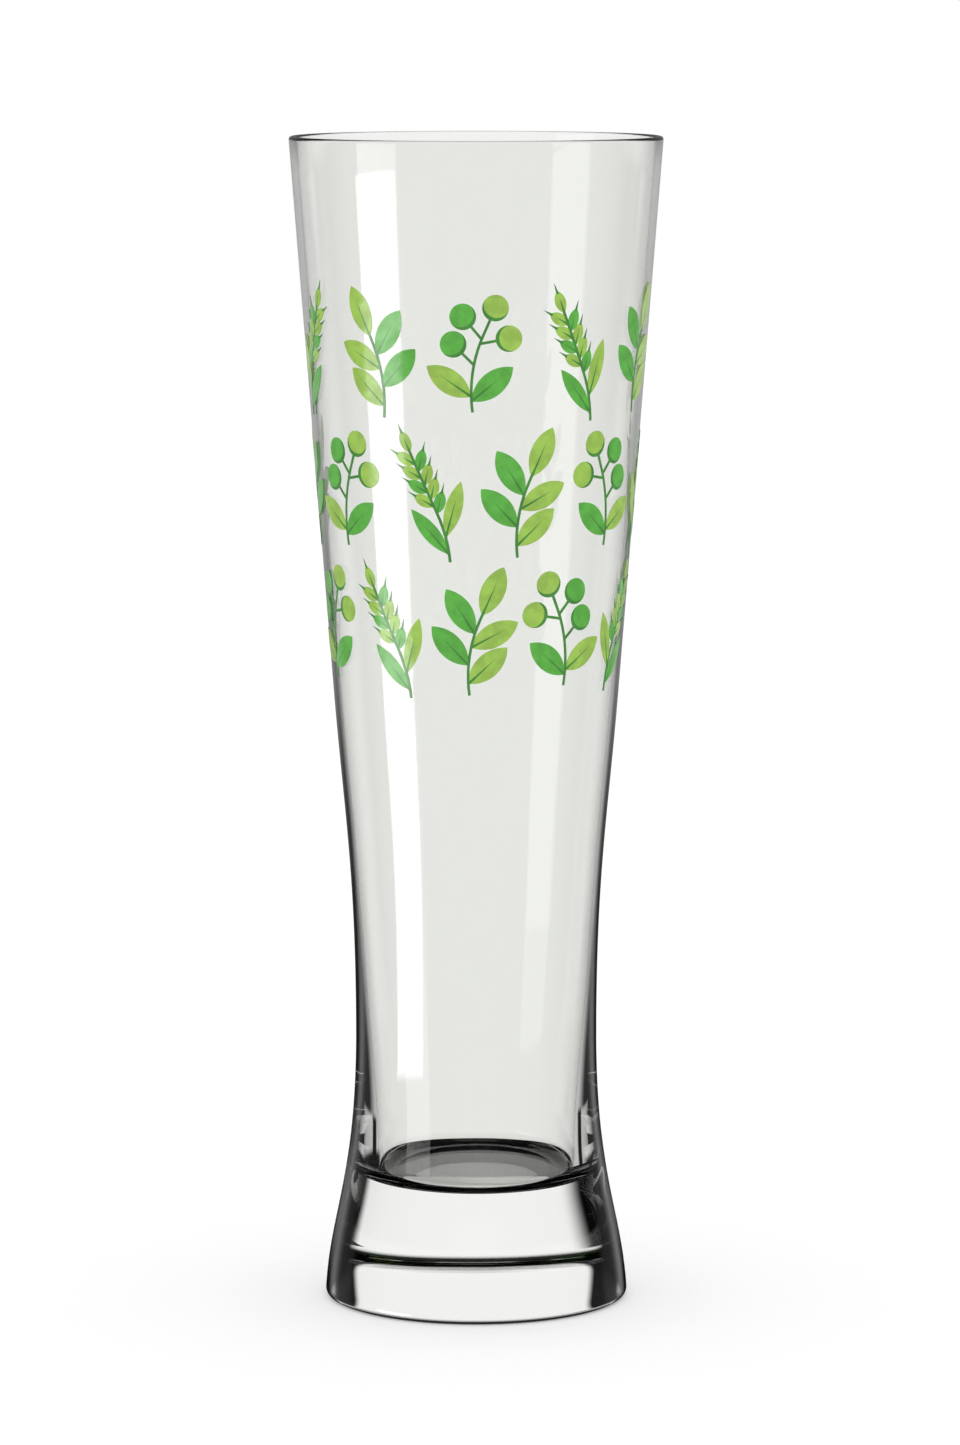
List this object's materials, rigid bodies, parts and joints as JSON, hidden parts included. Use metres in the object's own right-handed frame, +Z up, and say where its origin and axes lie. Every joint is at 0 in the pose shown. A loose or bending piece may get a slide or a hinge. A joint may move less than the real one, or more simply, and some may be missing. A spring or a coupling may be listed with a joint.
{
  "type": "beer glass",
  "caption": "Tall drinking glass with a thin flared bowl, a slim waist, a solid heavy foot and a green band of barley, leaf and berry sprigs printed on the front.",
  "frame": {"origin": "centre of the standing ring, on the surface the glass rests on", "axes": "+Z up along the axis of the glass towards the rim, -Y towards the printed front, +X to the right seen from the front"},
  "size_m": [0.0674, 0.0674, 0.212],
  "materials": {
    "clear_glass": "clear, fire-polished, faint cool tint in the thick foot",
    "light_green_ink": "opaque glossy screen-print ink",
    "mid_green_ink": "opaque glossy screen-print ink",
    "dark_green_ink": "opaque glossy screen-print ink"
  },
  "bodies": {
    "root": {"glass_body": "clear_glass", "print_light_green": "light_green_ink", "print_mid_green": "mid_green_ink", "print_dark_green": "dark_green_ink"}
  },
  "joints": []
}
